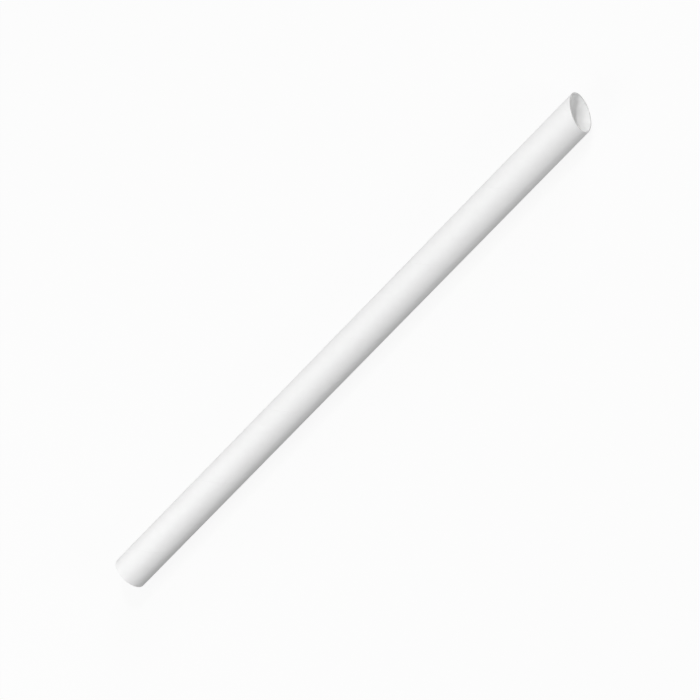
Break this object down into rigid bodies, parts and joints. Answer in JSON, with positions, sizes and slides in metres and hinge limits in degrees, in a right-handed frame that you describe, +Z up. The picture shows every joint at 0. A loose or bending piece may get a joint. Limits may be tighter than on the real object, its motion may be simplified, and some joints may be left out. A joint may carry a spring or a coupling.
{
  "type": "paper drinking straw",
  "caption": "Wide straight drinking straw wound from white paper strip, open right through, with one end cut square and the other cut on a slant.",
  "frame": {"origin": "on the floor, below the middle of the straw's length", "axes": "+X along the straw from its square end to its slanted end, +Y towards the side that the tip of the slant is on, +Z up"},
  "size_m": [0.23, 0.012, 0.0119],
  "materials": {
    "paper": "smooth uncoated white paper, matt"
  },
  "bodies": {
    "root": {"straw": "paper"}
  },
  "joints": []
}
